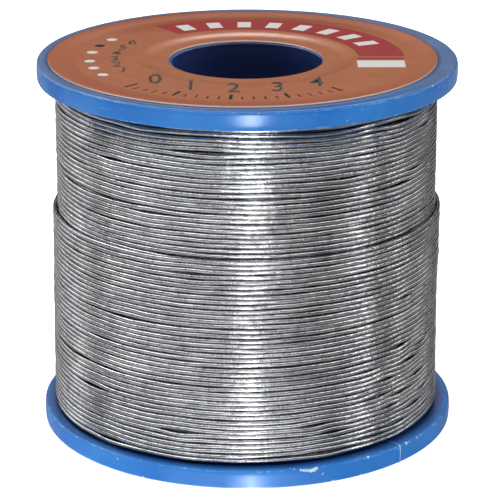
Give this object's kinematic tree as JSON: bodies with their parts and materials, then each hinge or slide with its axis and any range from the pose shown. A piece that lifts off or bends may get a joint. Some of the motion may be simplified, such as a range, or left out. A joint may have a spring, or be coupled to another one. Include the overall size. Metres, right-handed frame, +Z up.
{
  "type": "solder wire spool",
  "caption": "Flanged plastic bobbin wound full of fine soft solder wire, with a round bore for a spindle and a paper label on the upper flange.",
  "frame": {"origin": "centre of the lower flange's bottom face, where the spool stands", "axes": "+Z up the bore towards the labelled flange; the label's front, seen by a reader, faces -Y; +X to the reader's right"},
  "size_m": [0.046, 0.046, 0.0415],
  "materials": {
    "spool_plastic": "glossy moulded blue plastic",
    "label_paper": "coated printed paper, semi-gloss",
    "solder_wire": "drawn tin-lead wire, bright but slightly dulled"
  },
  "bodies": {
    "root": {"spool_body": "spool_plastic", "top_label": "label_paper", "wire_inner_layers": "solder_wire", "wire_outer_layer": "solder_wire"}
  },
  "joints": []
}
